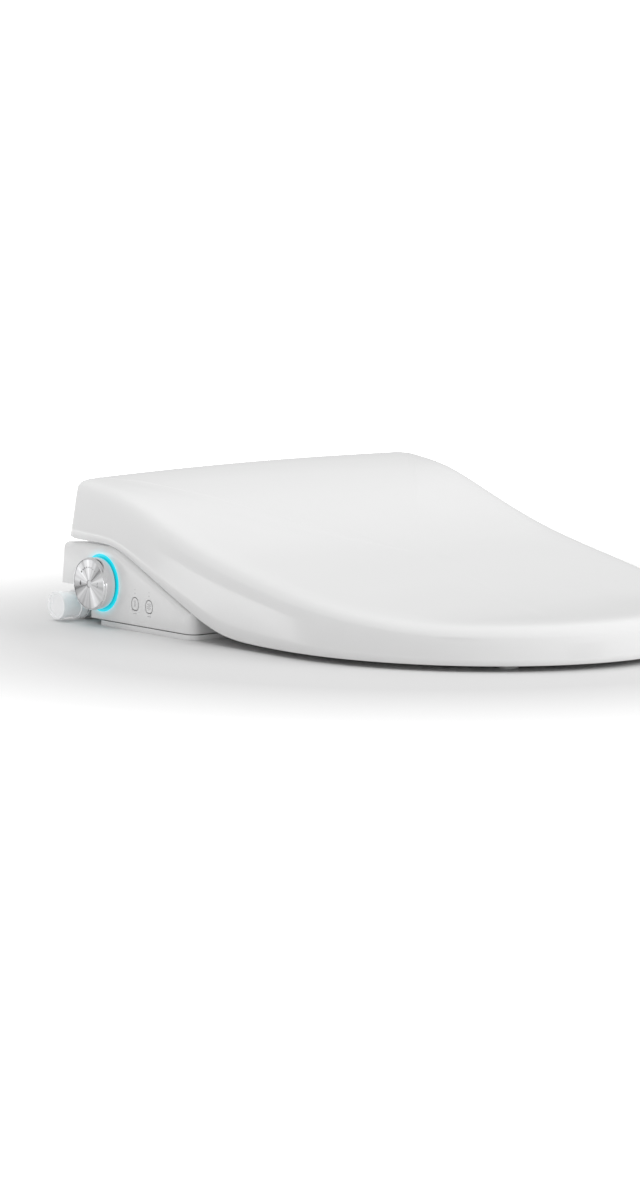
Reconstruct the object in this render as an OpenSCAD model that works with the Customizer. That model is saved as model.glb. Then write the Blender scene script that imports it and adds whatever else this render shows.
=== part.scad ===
// Electric bidet seat: a soft-close lid and heated ring over a washing, drying and
// odour-filtering unit that clips to a plate bolted on the rim of a WC pan.
// Millimetres. +Z is up, the front of the seat points along -Y, and the origin lies on the
// pan's rim, midway between the two fixing bolts.

/* [Lid and ring] */
// Width of the lid across its sides
lid_width = 362; // [350:1:375]
// From the fixing bolts to the front edge of the lid
front_reach = 426; // [405:1:440]
// From the fixing bolts to the back edge of the lid
lid_back = 67; // [66:0.5:67.5]
// Thickness of the lid's shell
lid_wall = 3; // [2.5:0.1:3.5]
// Width of the opening in the ring
opening_width = 196; // [180:2:204]
// Length of the opening in the ring
opening_length = 212; // [190:2:216]

/* [Housing] */
// From the fixing bolts to the back of the housing
housing_back = 76; // [75:1:80]
// Height of the side decks at the back
deck_height = 62; // [60:0.5:62]
// Wall thickness of the cases and panels
case_wall = 2.4; // [2:0.1:2.6]
// Half the width of the raised middle of the housing
hump_half = 118; // [116:1:119]
// Thickness of the mounting plate
plate_thick = 4; // [4:0.1:4.2]

/* [Hinge] */
// Distance of the hinge axis behind the fixing bolts
hinge_y = 51; // [50.5:0.5:51]
// Height of the hinge axis above the rim
hinge_z = 96; // [95.5:0.5:96]

/* [Control knob] */
// Diameter of the knob
knob_dia = 43; // [40:0.5:44]
// How far the knob stands out from the side panel
knob_proud = 12.5; // [11:0.5:14]

/* [Nozzles] */
// Travel of each nozzle
nozzle_stroke = 90; // [60:1:90]
// Outside radius of a nozzle tube
nozzle_r = 6; // [5.5:0.1:6]

/* [Fixing] */
// Distance between the two fixing bolts
bolt_spacing = 155; // [140:1:165]
// Length of the bolts below the rim
bolt_drop = 60; // [45:1:75]

/* [Hidden] */

$fn = 48;
fit = 0.2;
run_fit = 0.06;
tiny = 0.01;
half_w = lid_width / 2;

// Plan of the lid
straight_end = front_reach * 0.505;
lid_corner = 5.5;
side_steps = 14;
front_steps = 26;
corner_steps = 4;
notch_half = 152;

// Heights along the lid's side: [distance along Y, height of its upper edge]
crease = [[-430, 25.5], [-345, 26.5], [-290, 32.4], [-245, 38.6], [-148, 54.6], [-101, 64.3],
          [-64, 73.9], [-23, 84.2], [13, 91.4], [70, 96.5]];
// Rise of the lid's top above that edge
shoulder = [[-430, 7], [-330, 7.5], [-240, 8.5], [-140, 10], [-60, 13], [0, 17.5],
            [70, 19.2]];
// How hollow the shoulder is: above one near the front, full towards the back
firmness = [[-430, 1.4], [-150, 1.4], [-50, 1], [30, 0.45], [70, 0.35]];
crown = 3.5;
crown_centre = -170;
lid_edge = 4.5;
skirt_back = 67;
skirt_slope = 0.4447;
skirt_turn = 3.6;
lip_back = 100;
lid_rear_round = 8;

// Housing
side_x = 180;
panel_wall = 3.2;
panel_gap = 0.4;
deck_x = side_x - panel_wall - fit;
tray_z = plate_thick + panel_gap;
tray_wall_top = 11;
unit_front = -99;
tray_front = -95.6;
fascia_y = -86;
recess = [38, 29];
recess_x = -132;
barrel_r = 9.4;
panel_top = [66, 63.6];
rail_x = 91;
release_travel = 28;
rail_heads = [-36, 12];
rail_long = 22;

screw_at = [[-105, -78], [105, -78], [-60, 66], [60, 66], [150, 20], [-120, -60]];

// Knob
knob_at = [22, 34.5];
ring_r = 23.3;
knob_gap = 1.9;

// Filter
cap_at = [63, 13];
cap_r = 11.6;
cap_out = 196;
chamber_r = 12.2;

// Left side: inlet and deodoriser
inlet_at = [22, 22];
inlet_out = 196;
cartridge_y = [40, 70];
cartridge_z = [14, 44];

// Nozzle drive
module_size = 1;
pinion_teeth = 14;
pitch_r = module_size * pinion_teeth / 2;
rack_addendum = 0.8;
rack_pitch_z = 8;
nozzle_len = 129;
nozzle_x = 14;
port_at = [fascia_y + 1, 1];
pinion_y = 34;
pinion_z = rack_pitch_z + pitch_r;
nozzle_tilt = 27;

flap_hinge = [fascia_y - 1.1, 26.2];

// Ring
ring_inset = 8.5;
ring_wall = 2.6;
ring_floor = 5.5;
seat_split = 9;
knuckle_r = 8.6;
ear_x = [124, 140];
lug_x = [142, 150];
shaft_r = 5;
bar_back = -102.6;

white = "white";
trim = "gainsboro";
steel = "silver";

// ---- Shared functions ----

function bottom(table) = table[0][0];
function last(table) = len(table) - 1;
function span_of(table, y, i = 0) =
    (i >= last(table) - 1 || y < table[i + 1][0]) ? i : span_of(table, y, i + 1);
function slope_at(table, i) =
    let (a = max(i - 1, 0), b = min(i + 1, last(table)))
    (table[b][1] - table[a][1]) / (table[b][0] - table[a][0]);
// Smooth curve through a table of [y, value] stations
function along(table, y) =
    let (
        q = max(bottom(table), min(table[last(table)][0], y)),
        i = span_of(table, q),
        h = table[i + 1][0] - table[i][0],
        t = (q - table[i][0]) / h
    )
    (2 * t ^ 3 - 3 * t ^ 2 + 1) * table[i][1] + (t ^ 3 - 2 * t ^ 2 + t) * h * slope_at(table, i)
    + (3 * t ^ 2 - 2 * t ^ 3) * table[i + 1][1] + (t ^ 3 - t ^ 2) * h * slope_at(table, i + 1);
function soft_max(a, b, k) = (a + b + sqrt((a - b) ^ 2 + k ^ 2)) / 2;
function soft_min(a, b, k) = (a + b - sqrt((a - b) ^ 2 + k ^ 2)) / 2;
function arc(c, r, a0, a1, n) =
    [for (i = [0:n]) c + r * [cos(a0 + (a1 - a0) * i / n), sin(a0 + (a1 - a0) * i / n)]];
function ramp(y) = skirt_back + skirt_slope * (y - skirt_turn);
// Lower edge of the lid's side: low at the front, a slope, then high at the back
function skirt_edge(y) = soft_min(skirt_back + 0.3, soft_max(lid_edge, ramp(y), 8.6), 3);

// Stations along the straight side, closer together at the back
function side_place(t) = t * (0.45 + 0.55 * t);
// Back edge of the lid's outlines, which lean in less there than at the sides
function back_at(inset, wall) = lid_back - inset * 0.35 - wall;
// Plan of the lid, counter-clockwise from the left side, moved inwards by inset and wall
function lid_plan(inset, wall) =
    let (w = half_w - inset - wall, f = front_reach - straight_end - inset - wall,
         c = lid_corner + (inset + wall) * 0.3, back = back_at(inset, wall), y0 = back - c)
    concat(
        [for (i = [0:side_steps - 1])
            [-w, y0 - (straight_end + y0) * side_place(i / side_steps)]],
        [for (i = [0:front_steps])
            let (a = 180 + 180 * i / front_steps) [w * cos(a), -straight_end + f * sin(a)]],
        [for (i = [1:side_steps])
            [w, y0 - (straight_end + y0) * side_place(1 - i / side_steps)]],
        [for (i = [1:corner_steps])
            let (a = 90 * i / corner_steps) [w - c + c * cos(a), y0 + c * sin(a)]],
        [for (x = [notch_half, notch_half - 2, 75, 0, -75, 2 - notch_half, -notch_half])
            [x, back]],
        [for (i = [0:corner_steps - 1])
            let (a = 90 + 90 * i / corner_steps) [c - w + c * cos(a), y0 + c * sin(a)]]
    );
function back_lip(p, back) = p[1] > back - 0.5 && abs(p[0]) < notch_half - 1;
function rear_round(y) =
    let (d = y - (lid_back - lid_rear_round))
    d <= 0 ? 0 : lid_rear_round - sqrt(max(0, lid_rear_round ^ 2 - d ^ 2));
function lower_edge(p, back) =
    back_lip(p, back) ? lip_back : skirt_edge(p[1]) + rear_round(p[1] + lid_back - back);
function lid_top(p) =
    along(crease, p[1]) + along(shoulder, p[1]) + crown * (1 - (p[0] / half_w) ^ 2);

// One ring of points of the lid's skin, at a share of the shoulder's rise
function skirt_ring(inset, share, wall) =
    [for (p = lid_plan(inset, wall))
        let (edge = lower_edge(p, back_at(inset, wall)),
             z = share == 0 ? edge
               : along(crease, p[1]) + (along(shoulder, p[1])
                 + crown * (1 - (p[0] / half_w) ^ 2)) * share ^ along(firmness, p[1]) - wall)
        [p[0], p[1], max(z, edge + (share == 0 ? 0 : 1.5))]];
function top_ring(inset, scale, wall) =
    [for (p = lid_plan(inset, wall))
        let (q = [p[0] * scale, crown_centre + (p[1] - crown_centre) * scale])
        [q[0], q[1], lid_top(q) - wall]];

function lid_rings(wall) = [
    skirt_ring(0, 0, wall), skirt_ring(3.5, 0.001, wall), skirt_ring(5.5, 0.5, wall),
    skirt_ring(10, 0.84, wall), skirt_ring(18, 1, wall), top_ring(18, 0.84, wall),
    top_ring(18, 0.62, wall), top_ring(18, 0.4, wall), top_ring(18, 0.18, wall),
];
// Closes two stacks of rings into one skin: outer, inner and the edge between them
module shell(outer, inner) {
    n = len(outer[0]);
    k = len(outer);
    flat = [for (r = concat(outer, inner)) each r];
    tip = len(flat);
    points = concat(flat, [
        [0, crown_centre, lid_top([0, crown_centre])],
        [0, crown_centre, lid_top([0, crown_centre]) - lid_wall],
    ]);
    sides = [for (j = [0:k - 2], i = [0:n - 1])
        let (a = j * n + i, b = j * n + (i + 1) % n)
        each [[a, a + n, b + n], [a, b + n, b]]];
    inside = [for (j = [k:2 * k - 2], i = [0:n - 1])
        let (a = j * n + i, b = j * n + (i + 1) % n)
        each [[a, b + n, a + n], [a, b, b + n]]];
    rim = [for (i = [0:n - 1])
        let (a = i, b = (i + 1) % n, c = k * n + i, d = k * n + (i + 1) % n)
        each [[a, b, d], [a, d, c]]];
    caps = [for (i = [0:n - 1])
        let (a = (k - 1) * n + i, b = (k - 1) * n + (i + 1) % n)
        each [[a, tip, b], [a + k * n, b + k * n, tip + 1]]];
    polyhedron(points, concat(sides, inside, rim, caps));
}

// ---- Shared shapes ----

// Draws a side-view outline, [y, z], from x0 to x1
module across(x0, x1) {
    translate([x0, 0, 0]) rotate([90, 0, 90]) linear_extrude(x1 - x0) children();
}
module rod_x(x0, x1, at, r) {
    translate([x0, at[0], at[1]]) rotate([0, 90, 0]) cylinder(h = x1 - x0, r = r);
}
module rod_y(y0, y1, at, r) {
    translate([at[0], y0, at[1]]) rotate([-90, 0, 0]) cylinder(h = y1 - y0, r = r);
}
module rod_z(z0, z1, at, r) {
    translate([at[0], at[1], z0]) cylinder(h = z1 - z0, r = r);
}
module block(low, high) {
    translate(low) cube(high - low);
}
module round_plate(low, high, r, z0, z1) {
    translate([0, 0, z0]) linear_extrude(z1 - z0) polygon(concat(
        arc([low[0] + r, low[1] + r], r, 180, 270, 6),
        arc([high[0] - r, low[1] + r], r, 270, 360, 6),
        arc([high[0] - r, high[1] - r], r, 0, 90, 6),
        arc([low[0] + r, high[1] - r], r, 90, 180, 6)));
}
module both_sides() {
    children();
    mirror([1, 0, 0]) children();
}
module in_nozzle_frame() {
    translate([0, port_at[0], port_at[1]]) rotate([nozzle_tilt, 0, 0]) children();
}

// ---- Fixing plate and bolts ----

module mounting_plate() {
    color(white) difference() {
        union() {
            round_plate([-side_x - 1.2, unit_front - 1.6], [side_x + 1.2, 36], 10.2, 0,
                        plate_thick);
            both_sides() for (y = rail_heads) {
                block([rail_x - 3, y, plate_thick - tiny],
                      [rail_x + 3, y + rail_long, tray_z + case_wall + 0.4]);
                block([rail_x - 6.5, y, tray_z + case_wall + 0.35],
                      [rail_x + 6.5, y + rail_long, tray_z + case_wall + 2.6]);
            }
        }
        block([-78, unit_front - 5, -1], [78, -52, plate_thick + 1]);
        both_sides() {
            block([bolt_spacing / 2 - 15, -4.6, -1], [bolt_spacing / 2 + 10, 4.6, plate_thick]);
            block([bolt_spacing / 2 - 24, -15, 1.4], [bolt_spacing / 2 + 9.4, 15, plate_thick + 1]);
        }
        block([-40, -38, -1], [40, 22, plate_thick + 1]);
        block([-side_x - 2, recess[0] - release_travel + 11, -1], [-130, 40, plate_thick + 1]);
    }
}
module bolt_clamp_plates() {
    color(trim) both_sides() difference() {
        block([bolt_spacing / 2 - 9, -12, 1.5], [bolt_spacing / 2 + 9, 12, 2.5]);
        rod_z(1, 3, [bolt_spacing / 2, 0], 4.1);
    }
}
module mounting_bolts() {
    color(steel) both_sides() {
        rod_z(-bolt_drop, 0, [bolt_spacing / 2, 0], 4);
        rod_z(-tiny, 2.7, [bolt_spacing / 2, 0], 3.6);
        rod_z(2.6, 3.8, [bolt_spacing / 2, 0], 8);
    }
}

// ---- Cases ----

// Outline of the side decks, [y, z], under the lid's sloping edge
function deck_outline(drop, low) = concat(
    [[housing_back - 0.4 - drop, low], [housing_back - 0.4 - drop, deck_height - drop - 4]],
    arc([housing_back - 4.4 - drop, deck_height - drop - 4], 4, 0, 90, 4),
    [for (i = [0:22])
        let (y = -2 + (tray_front + 4) * i / 22)
        [y, min(deck_height - drop, skirt_edge(y) - 2.2 - drop)]],
    [[tray_front + 0.4 + drop, skirt_edge(tray_front) - 5 - drop],
     [tray_front + 0.4 + drop, low]]
);
// Outline of the raised middle, [y, z], with the hinge barrel at its back
function hump_outline(drop, low) = concat(
    [[hinge_y - 3 - drop, low]],
    arc([hinge_y, hinge_z], barrel_r - drop, acos((3 + drop) / (barrel_r - drop)) - 180, 100, 16),
    [[34, 103.5 - drop], [18, 99 - drop], [0, 92 - drop], [-20, 84 - drop], [-40, 75.5 - drop],
     [-58, 66.5 - drop], [-70, 58 - drop], [-78 + drop, 48 - drop], [fascia_y + 2.8 + drop, 36],
     [fascia_y + 2.8 + drop, low]]
);
module recess_space(grow) {
    block([-side_x - 5, recess[0] - grow, -1], [recess_x + grow, housing_back + 5, recess[1] + grow]);
}
module base_tray() {
    color(white) difference() {
        round_plate([-deck_x, tray_front], [deck_x, housing_back - 0.4], 5, tray_z, tray_wall_top);
        difference() {
            round_plate([case_wall - deck_x, tray_front + case_wall],
                        [deck_x - case_wall, housing_back - 0.4 - case_wall], 3,
                        tray_z + case_wall, tray_wall_top + 1);
            recess_space(case_wall);
        }
        recess_space(0);
        block([-76, unit_front - 5, 0], [76, fascia_y + 18, tray_wall_top + 1]);
        both_sides() {
            for (y = rail_heads) {
                block([rail_x - 3.5, y - 1, 0], [rail_x + 3.5, y + rail_long + release_travel, 9]);
                block([rail_x - 7, y + release_travel - 0.5, 0],
                      [rail_x + 7, y + rail_long + release_travel + 0.5, 9]);
            }
        }
        block([-30, fascia_y, 0], [30, -48, tray_wall_top + 1]);
        rod_z(0, 20, [0, 40], 4);
        block([deck_x - 10, -61, tray_z + 1], [deck_x + 5, -43, tray_wall_top + 1]);
        rod_x(-134, -124, cap_at, 5.2);
        for (at = screw_at) {
            rod_z(tray_z - 1, tray_z + 2.1, at, 3.3);
            rod_z(tray_z, tray_z + case_wall + 0.1, at, 1.7);
        }
    }
}
module top_cover() {
    z0 = tray_wall_top + fit;
    color(white) difference() {
        union() {
            intersection() {
                across(-deck_x, deck_x) polygon(deck_outline(0, z0));
                round_plate([-deck_x, tray_front + 0.4], [deck_x, housing_back - 0.4], 5, 0, 90);
            }
            across(-hump_half, hump_half) polygon(hump_outline(0, z0));
        }
        both_sides() across(hump_half + 1, deck_x - case_wall)
            polygon(deck_outline(case_wall, z0 - 5));
        across(-hump_half + case_wall, hump_half - case_wall) union() {
            polygon(hump_outline(case_wall, z0 - 5));
            polygon([[housing_back - 0.4 - case_wall, z0 - 5],
                     [housing_back - 0.4 - case_wall, deck_height - case_wall - 0.1],
                     [40, deck_height - case_wall - 0.1], [40, z0 - 5]]);
        }
        block([-hump_half - 5, 20, 20], [-hump_half + 5, housing_back - 8, 50]);
        block([-hump_half - 5, -70, z0 - 1], [-hump_half + 5, 4, 34]);
        block([hump_half - 5, -70, z0 - 1], [hump_half + 5, 60, 50]);
        across(-deck_x - 5, -deck_x + 3) polygon([[-70, z0 - 5], [60, z0 - 5], [60, 56], [3, 56]]);
        across(deck_x - 3, deck_x + 5) polygon([[-70, z0 - 5], [60, z0 - 5], [60, 56], [3, 56]]);
        recess_space(0);
        block([-hump_half + case_wall, tray_front - 2, 0], [hump_half - case_wall, fascia_y + 8, 30]);
        both_sides() rod_x(40, hump_half + 6, [hinge_y, hinge_z], shaft_r + run_fit);
        rod_y(60, 90, [104, 22], 6.2);
        rod_x(-134, -115, cap_at, 5.2);
        block([deck_x - 9, -61, z0 - 1], [deck_x + 5, -43, 15]);
        for (x = [-56:6:34]) block([x, 70, 23], [x + 3, 90, 45]);
        block([deck_x - 9, cartridge_y[0] - fit, cartridge_z[0] - fit],
              [deck_x + 5, cartridge_y[1] + fit, cartridge_z[1] + fit]);
    }
}
module fascia_port() {
    in_nozzle_frame() {
        translate([0, 12, 0]) rotate([90, 0, 0]) cylinder(h = 40, r = nozzle_r + 0.8);
        block([-3.8, -28, 0], [3.8, 12, rack_pitch_z + rack_addendum + 1.2]);
    }
}
module front_fascia() {
    color(white) difference() {
        union() {
            block([-hump_half + case_wall + fit, fascia_y, tray_wall_top + fit],
                  [hump_half - case_wall - fit, fascia_y + case_wall, 29.6]);
            block([-75.5, fascia_y, 1.5], [75.5, fascia_y + case_wall, tray_wall_top + 0.3]);
            block([-34, fascia_y, -12], [34, fascia_y + case_wall, 1.6]);
            for (x = [37.4, 72.2])
                block([x, fascia_y - 3.4, 22.8], [x + 2.4, fascia_y + 0.1, 29.2]);
        }
        translate([-nozzle_x, 0, 0]) fascia_port();
        translate([nozzle_x, 0, 0]) fascia_port();
        block([42.5, fascia_y - 5, 9], [69.5, fascia_y + 5, 24]);
        rod_x(30, 80, flap_hinge, 1.2 + run_fit);
        translate([-72, 0, 0]) rod_y(fascia_y - 5, fascia_y + 5, [0, 16], 7 + fit);
    }
}
// Upper edge of a side panel: level, then falling a little towards the back
function panel_edge(y) =
    min(panel_top[0] - max(0, y - 45) * (panel_top[0] - panel_top[1]) / 27,
        skirt_edge(y) - 1.3);
// Outline of a side panel, [y, z]
panel_outline = concat(
    [[housing_back, recess[1] + 0.4], [housing_back - 3, panel_edge(72) - 4]],
    arc([housing_back - 7, panel_edge(70) - 4], 4, 0, 80, 3),
    [for (i = [0:30])
        let (y = 60 + (unit_front - 61) * i / 30)
        [y, panel_edge(y)]],
    [[unit_front - 1, tray_z + 0.2], [recess[0] - 2, tray_z + 0.2],
     [recess[0] - 2, recess[1] + 0.4]]
);
// Wedge that follows a side panel's upper edge: its low, high and outer corners, [x, z]
module edge_wedge(low, high) {
    places = [for (i = [0:32]) 80 + (unit_front - 84) * i / 32];
    points = [for (y = places, q = [low, high, [low[0] - 3, high[1]]])
        [q[0] - side_x, y, panel_edge(y) + q[1]]];
    m = len(places);
    polyhedron(points, concat(
        [[0, 1, 2], [3 * m - 3, 3 * m - 1, 3 * m - 2]],
        [for (i = [0:m - 2], j = [0:2])
            let (a = 3 * i + j, b = 3 * i + (j + 1) % 3)
            each [[a, b + 3, b], [a, a + 3, b + 3]]]));
}
module footprint(inset, z1) {
    round_plate([inset - side_x, unit_front + inset - 0.6], [side_x - inset, 120], 9 - inset,
                0, z1);
}
module side_panel() {
    difference() {
        intersection() {
            across(-side_x - 1, -150) polygon(panel_outline);
            difference() {
                footprint(0, 80);
                footprint(panel_wall, 81);
            }
        }
        edge_wedge([-0.4, -5.8], [1.6, 1.2]);
        edge_wedge([-1.5, -3.6], [3.9, 1.2]);
    }
}
module control_panel() {
    color(white) difference() {
        side_panel();
        rod_x(-side_x - 5, -side_x + 10, knob_at, ring_r + 0.15);
    }
}
module left_panel() {
    color(white) difference() {
        union() {
            mirror([1, 0, 0]) side_panel();
            block([side_x - panel_wall, recess[0] - 3, tray_z + 0.2],
                  [side_x - 1.2, 74, recess[1] + 2]);
        }
        block([side_x - 10, cartridge_y[0] - fit, cartridge_z[0] - fit],
              [side_x + 5, cartridge_y[1] + fit, cartridge_z[1] + fit]);
        block([side_x - 10, -60.4, 6.4], [side_x + 5, -43.6, 14.6]);
        rod_x(side_x - 10, side_x + 5, inlet_at, 11);
    }
}
module case_screws() {
    color(steel) for (at = screw_at)
        difference() {
            union() {
                rod_z(tray_z + 0.1, tray_z + 2, at, 3.2);
                rod_z(tray_z + 1.9, tray_z + 2.2, at, 1.6);
            }
            translate([at[0], at[1], 0]) block([-2, -0.4, 0], [2, 0.4, tray_z + 0.9]);
            translate([at[0], at[1], 0]) block([-0.4, -2, 0], [0.4, 2, tray_z + 0.9]);
        }
}

// ---- Water path ----

module inlet_strainer() {
    color(trim) difference() {
        rod_x(-169, -146, cap_at, 8.6);
        rod_x(-170, -148, cap_at, 7.4);
        for (a = [0:45:315], x = [-165:5:-150])
            translate([x, cap_at[0], cap_at[1]]) rotate([a, 0, 0])
                translate([0, 0, 6]) cylinder(h = 4, r = 1.3, $fn = 12);
    }
}
module filter_cap() {
    color(white) {
        difference() {
            union() {
                rod_x(2.5 - cap_out, -171, cap_at, cap_r - 0.9);
                rod_x(-cap_out, 4.5 - cap_out, cap_at, cap_r);
                rod_x(-178, -171, cap_at, cap_r);
            }
            rod_x(-cap_out - 1, 0.8 - cap_out, cap_at, cap_r - 2.6);
        }
        difference() {
            rod_x(-171.1, -161, cap_at, 10.3);
            rod_x(-169.2, -160, cap_at, 8.7);
        }
    }
}
module filter_seal() {
    color("dimgray") difference() {
        rod_x(-170.6, -169.2, cap_at, 10.46);
        rod_x(-171.2, -169, cap_at, 10.34);
    }
}
module filter_chamber() {
    color(trim) difference() {
        union() {
            rod_x(-170, -136, cap_at, chamber_r);
            rod_x(-136.1, -127, cap_at, 5);
            block([-160, cap_at[0] - 3, cap_at[1]], [-140, cap_at[0] + 3, recess[1]]);
        }
        rod_x(-171, -140, cap_at, 10.6);
        rod_x(-141, -126, cap_at, 3);
    }
}
module inlet_fitting() {
    color(steel) difference() {
        union() {
            rod_x(side_x + 0.4, inlet_out, inlet_at, 10.48);
            rod_x(side_x - 8, side_x + 0.5, inlet_at, 9);
            rod_x(side_x - 12, side_x - 7.9, inlet_at, 14);
            rod_x(side_x - 30, side_x - 11.9, inlet_at, 7);
        }
        rod_x(side_x - 31, inlet_out + 1, inlet_at, 5);
    }
}
module solenoid_valve() {
    color(trim) difference() {
        union() {
            block([98, -34, 12], [116, -4, 30]);
            rod_z(29.9, 34, [107, -19], 9);
            block([104, -30, tray_z + case_wall + fit], [110, -26, 12.1]);
            block([104, -12, tray_z + case_wall + fit], [110, -8, 12.1]);
        }
        rod_z(20, 35, [107, -19], 5.06);
        rod_y(-35, -3, [107, 17], 2);
    }
}
module valve_plunger() {
    color(steel) rod_z(22, 50, [107, -19], 5);
}
module valve_coil() {
    color("peru") difference() {
        rod_z(34.2, 58, [107, -19], 8.4);
        rod_z(34, 54, [107, -19], 5.06);
    }
}
module heater_tank() {
    low = [-108, -36, 12];
    high = [-38, 34, 60];
    color(trim) difference() {
        union() {
            block(low, high);
            for (x = [-106, -46], y = [-32, 24])
                block([x, y, tray_z + case_wall + fit], [x + 6, y + 6, 12.1]);
            block([-111, -39, 57], [-35, 37, 60]);
        }
        block(low + [2.5, 2.5, 2.5], high + [-2.5, -2.5, 1]);
    }
}
module heater_lid() {
    color(trim) difference() {
        union() {
            block([-111, -39, 60.2], [-35, 37, 63.6]);
            rod_z(63.5, 70, [-96, -20], 4.5);
            rod_z(63.5, 70, [-52, 22], 4.5);
        }
        rod_z(60, 71, [-96, -20], 2.6);
        rod_z(60, 71, [-52, 22], 2.6);
        block([-92, 4, 60], [-64, 9, 64]);
    }
    color("sienna") for (x = [-88:6:-58]) rod_z(20, 60.1, [x, 0], 2);
}
module thermal_cutout() {
    color("darkslategray") {
        rod_z(63.8, 68, [-74, -14], 8);
        block([-79, -14.6, 67.9], [-69, -13.4, 72]);
    }
}
module diverter_valve() {
    color(trim) difference() {
        union() {
            rod_x(-22, 6, [17, 79], 9.6);
            rod_x(5.9, 9, [17, 79], 11);
            rod_z(69, 80, [-14, 24], 3);
        }
        rod_x(-18, 10, [17, 79], 7.5);
    }
}
module diverter_motor() {
    color("silver") {
        rod_x(9.2, 24, [17, 79], 9.6);
        rod_x(-6, 9.3, [17, 79], 2.5);
    }
}
function unit(v) = v / norm(v);
// Rounds the bends of a path of points
function bent(path) = concat([path[0]],
    [for (i = [1:len(path) - 2], t = [0:0.25:1])
        let (p = path[i], before = path[i - 1] - p, after = path[i + 1] - p,
             a = p + unit(before) * min(4.5, norm(before) / 2.1),
             b = p + unit(after) * min(4.5, norm(after) / 2.1))
        (1 - t) ^ 2 * a + 2 * t * (1 - t) * p + t ^ 2 * b],
    [path[len(path) - 1]]);
// Run of round hose through a list of points
module hose(points, r) {
    path = bent(points);
    m = len(path);
    n = 16;
    rings = [for (i = [0:m - 1])
        let (d = unit(path[min(i + 1, m - 1)] - path[max(i - 1, 0)]),
             u = unit(cross(d, [1, 1.3, 0.8])), v = cross(d, u))
        [for (j = [0:n - 1]) path[i] + r * (cos(360 * j / n) * u + sin(360 * j / n) * v)]];
    polyhedron([for (q = rings) each q], concat(
        [[for (j = [0:n - 1]) j], [for (j = [n - 1:-1:0]) (m - 1) * n + j]],
        [for (i = [0:m - 2], j = [0:n - 1])
            let (a = i * n + j, b = i * n + (j + 1) % n)
            each [[a, a + n, b + n], [a, b + n, b]]]));
}
module water_hoses() {
    color("whitesmoke") {
        hose([[149.8, 22, 22], [126, 22, 22], [107, 10, 20], [107, -2.8, 17]], 3.6);
        hose([[107, -34.2, 17], [107, -52, 17], [62, -62, 50], [-30, -60, 50], [-100, -56, 46],
              [-111.8, -44, 36], [-111.8, 40, 31], [-112, 56, 28], [-122.6, 63, 24],
              [-122.6, 63, 13], [-126.8, 63, 13]], 3.1);
        hose([[-52, 22, 70.2], [-52, 22, 79], [-22.8, 17, 79]], 3.4);
    }
}

// ---- Nozzles ----

module nozzle_carriage() {
    color(trim) in_nozzle_frame() difference() {
        union() {
            block([-25, 4, -8.4], [25, 128, -6.6]);
            for (x = [-25, -0.9, 23.2]) block([x, 6.4, -6.7], [x + 1.8, 128, 6]);
            block([-25, 6.4, -6.7], [25, 14, 7]);
            block([-25, 60, -6.7], [25, 66, 7]);
            for (x = [-25, 23.2]) block([x, 20, 5], [x + 1.8, 48, 24]);
        }
        for (x = [-nozzle_x, nozzle_x]) {
            translate([x, 150, 0]) rotate([90, 0, 0]) cylinder(h = 170, r = nozzle_r + run_fit);
            block([x - 3.4, 3, 3], [x + 3.4, 140, 12]);
        }
        rod_x(-30, 30, [pinion_y, pinion_z], 2.6);
    }
}
// Rack tooth outlines on the pitch line, [y, z]
module rack(y0, teeth) {
    pitch = PI * module_size;
    across(-2.6, 2.6) polygon(concat(
        [[y0, nozzle_r - 2], [y0, rack_pitch_z - 1.2]],
        [for (i = [0:teeth - 1], q = [[0.32, -1.2], [0.94, rack_addendum], [1.84, rack_addendum],
                                      [2.46, -1.2]])
            [y0 + i * pitch + q[0] + 0.18, rack_pitch_z + q[1]]],
        [[y0 + teeth * pitch, rack_pitch_z - 1.2], [y0 + teeth * pitch, nozzle_r - 2]]));
}
module nozzle(x) {
    in_nozzle_frame() translate([x, 0, 0]) difference() {
        union() {
            translate([0, 8, 0]) rotate([-90, 0, 0]) cylinder(h = nozzle_len - 8, r = nozzle_r);
            rack(pinion_y - 4 * PI * module_size, 34);
        }
        translate([0, 7, 0]) rotate([-90, 0, 0]) cylinder(h = nozzle_len - 10, r = 3.4);
    }
}
module nozzle_tip(x, holes) {
    in_nozzle_frame() translate([x, 0, 0]) difference() {
        union() {
            translate([0, -0.5, 0]) rotate([-90, 0, 0]) cylinder(h = 2, r1 = 4.6, r2 = nozzle_r);
            translate([0, 1.49, 0]) rotate([-90, 0, 0]) cylinder(h = 6.4, r = nozzle_r);
            translate([0, 7.8, 0]) rotate([-90, 0, 0]) cylinder(h = 6, r = 3.3);
        }
        for (i = [0:holes - 1])
            translate([0, 4.6, 0]) rotate([0, (i - (holes - 1) / 2) * 26, 0])
                translate([0, 0, 2.5]) cylinder(h = 6, r = 0.6, $fn = 12);
    }
}
module rear_nozzle() {
    color("whitesmoke") nozzle(-nozzle_x);
}
module front_nozzle() {
    color("whitesmoke") nozzle(nozzle_x);
}
module rear_nozzle_tip() {
    color(steel) nozzle_tip(-nozzle_x, 1);
}
module front_nozzle_tip() {
    color(steel) nozzle_tip(nozzle_x, 3);
}
module pinion(side) {
    tooth = 360 / pinion_teeth;
    in_nozzle_frame() translate([0, pinion_y, pinion_z]) {
        across(side * nozzle_x - 2.4, side * nozzle_x + 2.4) polygon(
            [for (i = [0:pinion_teeth - 1], q = [[-0.36, pitch_r - 1.15], [-0.24, pitch_r - 0.3],
                                                 [-0.1, pitch_r + 0.85], [0.1, pitch_r + 0.85],
                                                 [0.24, pitch_r - 0.3], [0.36, pitch_r - 1.15]])
                let (a = -90 + (i + q[0]) * tooth) q[1] * [cos(a), sin(a)]]);
        rod_x(side > 0 ? nozzle_x - 3 : -nozzle_x - 14, side > 0 ? nozzle_x + 14 : 3 - nozzle_x,
              [0, 0], 2);
    }
}
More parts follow.
